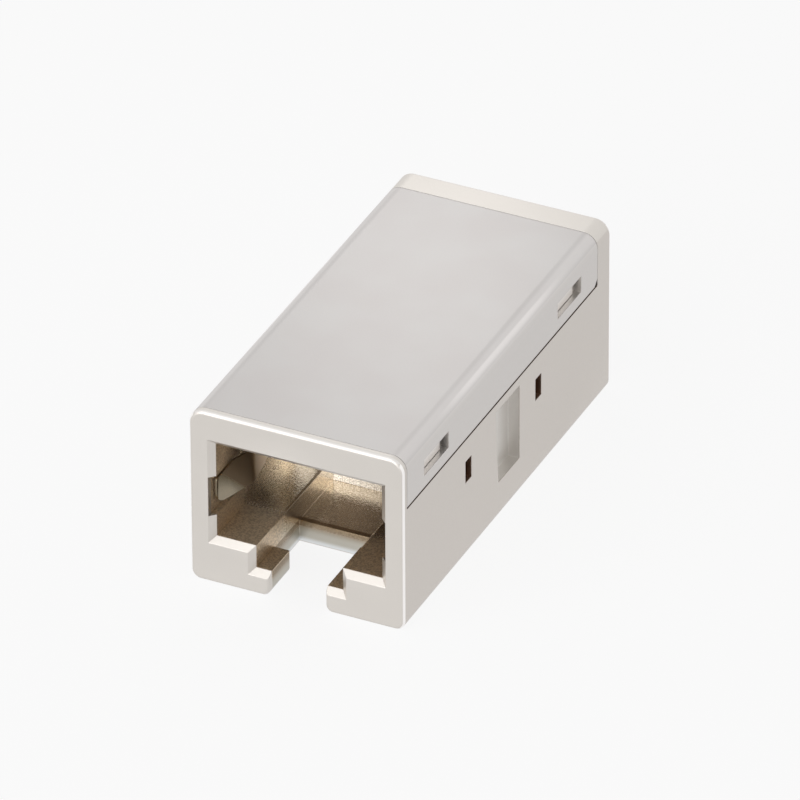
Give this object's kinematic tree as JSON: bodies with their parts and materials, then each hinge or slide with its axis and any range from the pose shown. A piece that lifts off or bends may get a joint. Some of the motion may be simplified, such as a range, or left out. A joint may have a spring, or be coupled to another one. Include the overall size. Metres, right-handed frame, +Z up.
{
  "type": "rj45 inline coupler",
  "caption": "Shielded inline coupler for modular data plugs: a metal box with a latching plug port at each end, a clip-on saddle cover and spring contacts inside.",
  "frame": {"origin": "middle of the underside, which is flat", "axes": "+X to the right across the port seen from the front, +Y from the front port to the rear port, +Z up, latches of the plugs down"},
  "size_m": [0.0152, 0.032, 0.013],
  "materials": {
    "nickel_casting": "satin nickel plate on a zinc die casting",
    "nickel_cover": "satin nickel plate on a zinc die casting, finely brushed",
    "insert_plastic": "black glass-filled nylon, moulded",
    "board_laminate": "green solder mask",
    "film": "amber polyimide film",
    "spring_steel": "bright spring strip",
    "contact_gold": "gold flash on phosphor bronze"
  },
  "bodies": {
    "root": {"housing_body": "nickel_casting", "top_cover": "nickel_cover", "front_contact_insert": "insert_plastic", "rear_contact_insert": "insert_plastic", "circuit_board": "board_laminate", "insulating_film": "film", "front_left_shield_spring": "spring_steel", "front_right_shield_spring": "spring_steel", "rear_left_shield_spring": "spring_steel", "rear_right_shield_spring": "spring_steel", "front_contact_1": "contact_gold", "front_contact_2": "contact_gold", "front_contact_3": "contact_gold", "front_contact_4": "contact_gold", "front_contact_5": "contact_gold", "front_contact_6": "contact_gold", "front_contact_7": "contact_gold", "front_contact_8": "contact_gold", "rear_contact_1": "contact_gold", "rear_contact_2": "contact_gold", "rear_contact_3": "contact_gold", "rear_contact_4": "contact_gold", "rear_contact_5": "contact_gold", "rear_contact_6": "contact_gold", "rear_contact_7": "contact_gold", "rear_contact_8": "contact_gold"}
  },
  "joints": []
}
